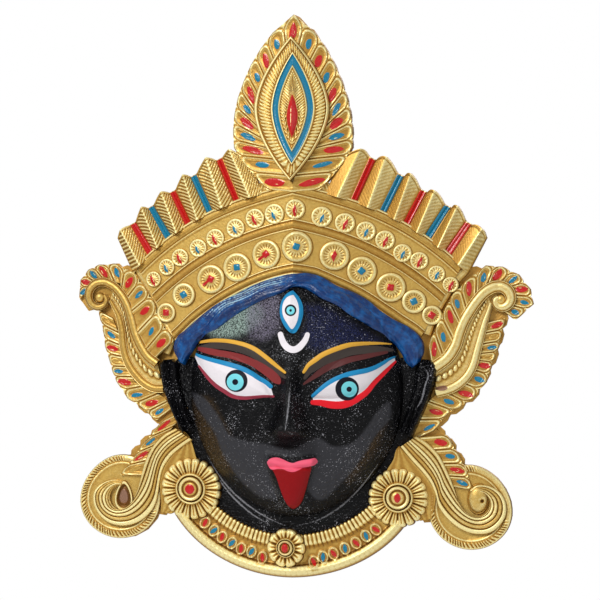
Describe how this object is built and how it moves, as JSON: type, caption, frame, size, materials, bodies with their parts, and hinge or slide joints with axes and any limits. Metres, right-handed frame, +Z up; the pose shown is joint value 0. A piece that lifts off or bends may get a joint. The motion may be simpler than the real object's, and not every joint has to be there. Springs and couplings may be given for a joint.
{
  "type": "wall mask",
  "caption": "Cast brass wall mask of a crowned goddess's face with scrolls, rosettes, collar and painted details; hangs from a lug on its back.",
  "frame": {"origin": "centre of the flat rear end of the hanging lug on the mask's back, where it meets the wall", "axes": "+Z up along the mask's height, -Y out of the wall towards the viewer, so the wall is the plane Y = 0; +X to the viewer's right"},
  "size_m": [0.2049, 0.0495, 0.2528],
  "materials": {
    "cast_brass": "sand-cast gold-toned brass, face painted gloss black, details hand painted"
  },
  "bodies": {
    "root": {"kali_mask": "cast_brass"}
  },
  "joints": []
}
